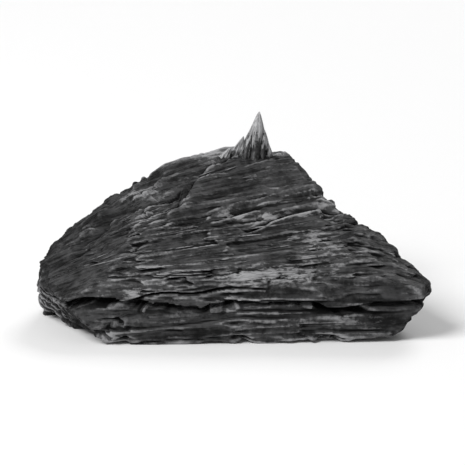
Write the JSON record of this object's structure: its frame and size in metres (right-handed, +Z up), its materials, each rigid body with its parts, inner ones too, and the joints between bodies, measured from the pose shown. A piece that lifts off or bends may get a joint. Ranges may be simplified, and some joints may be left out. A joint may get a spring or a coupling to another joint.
{
  "type": "charcoal lump",
  "caption": "Wedge-shaped lump of barbecue charcoal, split along the grain and snapped across it, with a long open shake and a flat split face to rest on.",
  "frame": {"origin": "under the middle of the lump's bounding box, on the plane of the flat split face that it rests on", "axes": "+X along the grain, towards the broken end; +Y to the back, towards the high rim; +Z up, away from the resting face"},
  "size_m": [0.0651, 0.0386, 0.0314],
  "materials": {
    "charred_wood": "matte"
  },
  "bodies": {
    "root": {"charcoal_lump": "charred_wood"}
  },
  "joints": []
}
